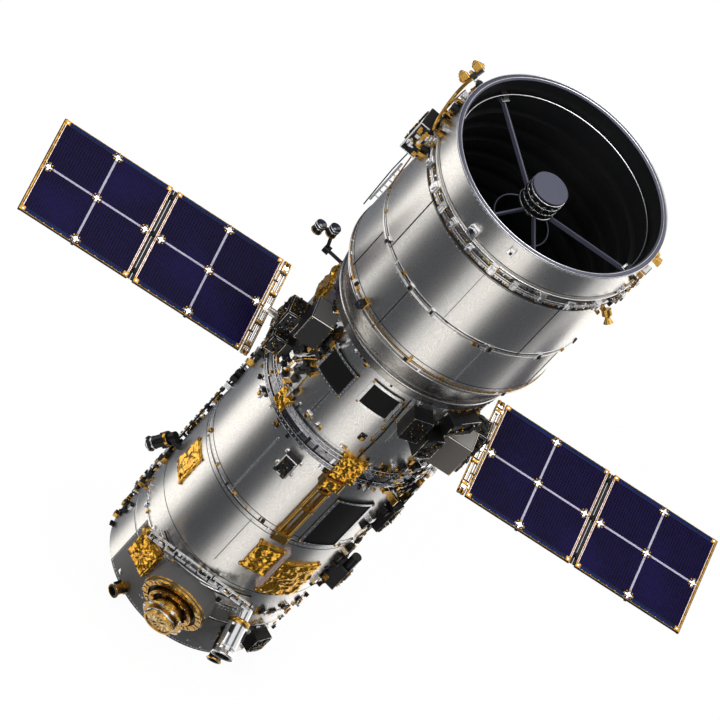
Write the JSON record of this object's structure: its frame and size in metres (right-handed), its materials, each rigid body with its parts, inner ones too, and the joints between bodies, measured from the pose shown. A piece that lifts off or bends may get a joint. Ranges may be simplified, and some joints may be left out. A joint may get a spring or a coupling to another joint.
{
  "type": "space telescope",
  "caption": "Orbital space telescope: silver tube with an open aperture, secondary mirror on a spider, gold foil, a docking port and folding solar wings on drives.",
  "frame": {"origin": "centre of the launch ring's bolt circle, on its foot face", "axes": "+Z along the tube towards the aperture, +X along the right solar wing, -Y towards the docking port's side"},
  "size_m": [14.244, 4.728, 13.3198],
  "materials": {
    "aluminium_skin": "satin rolled sheet",
    "rim_paint": "satin lavender grey",
    "black_interior": "matte black",
    "mirror_coating": "polished",
    "gold_foil": "creased foil",
    "gold_metal": "gold plated",
    "black_box": "satin black",
    "grey_panel": "matte grey",
    "polished_steel": "polished",
    "solar_cell": "glassy violet-blue"
  },
  "bodies": {
    "telescope": {"aft_bay": "aluminium_skin", "aft_radiator": "black_box", "aperture_band": "aluminium_skin", "aperture_sensors": "polished_steel", "baffle_liner": "black_interior", "bay_panel": "grey_panel", "bay_truss": "polished_steel", "central_baffle": "black_interior", "clip_ring": "aluminium_skin", "cube_left": "grey_panel", "cube_right": "grey_panel", "docking_cap": "gold_metal", "docking_drum": "grey_panel", "docking_inner_ring": "gold_metal", "docking_outer_ring": "gold_metal", "drive_electronics": "black_box", "drive_unit_left": "black_box", "drive_unit_right": "black_box", "equipment_shell": "aluminium_skin", "fore_box": "black_box", "fore_shell_lower": "aluminium_skin", "fore_shell_upper": "aluminium_skin", "fore_thruster": "gold_metal", "gold_bay_box": "gold_foil", "gold_mast": "gold_metal", "gold_patch_far": "gold_foil", "gold_patch_left": "gold_foil", "gold_patch_right": "gold_foil", "gold_patch_skirt": "gold_foil", "inner_ring": "rim_paint", "launch_ring": "aluminium_skin", "lower_shell": "aluminium_skin", "mirror_cell": "black_interior", "primary_mirror": "mirror_coating", "radiator_left": "black_box", "radiator_right": "black_box", "rail_box": "black_box", "rim": "rim_paint", "rim_thruster": "gold_metal", "ring_flange": "aluminium_skin", "second_tracker": "black_box", "secondary_cover": "rim_paint", "secondary_housing": "polished_steel", "side_camera": "black_box", "side_rail": "polished_steel", "side_sensor": "black_box", "skirt_cone": "aluminium_skin", "small_black_box": "black_box", "spider": "rim_paint", "star_tracker": "polished_steel", "tail_box": "black_box", "tail_thruster": "gold_metal", "twin_sensor": "black_box", "upper_shell": "aluminium_skin"},
    "wing_right": {"yoke_right": "polished_steel", "inner_panel_right": "solar_cell"},
    "wing_left": {"yoke_left": "polished_steel", "inner_panel_left": "solar_cell"},
    "outer_wing_right": {"outer_panel_right": "solar_cell"},
    "outer_wing_left": {"outer_panel_left": "solar_cell"}
  },
  "joints": [
    {"name": "array_drive_right", "type": "hinge", "parent": "telescope", "child": "wing_right", "pos_m": [2.11, 0, 6.823], "axis": [1, 0, 0], "range_deg": [-90, 90]},
    {"name": "array_drive_left", "type": "hinge", "parent": "telescope", "child": "wing_left", "pos_m": [-2.11, 0, 6.823], "axis": [1, 0, 0], "range_deg": [-90, 90]},
    {"name": "panel_fold_right", "type": "hinge", "parent": "wing_right", "child": "outer_wing_right", "pos_m": [4.77, -0.0104, 6.87191], "axis": [0, -0.9781, -0.2079], "range_deg": [0, 180]},
    {"name": "panel_fold_left", "type": "hinge", "parent": "wing_left", "child": "outer_wing_left", "pos_m": [-4.77, -0.0104, 6.87191], "axis": [0, 0.9781, 0.2079], "range_deg": [0, 180]}
  ]
}
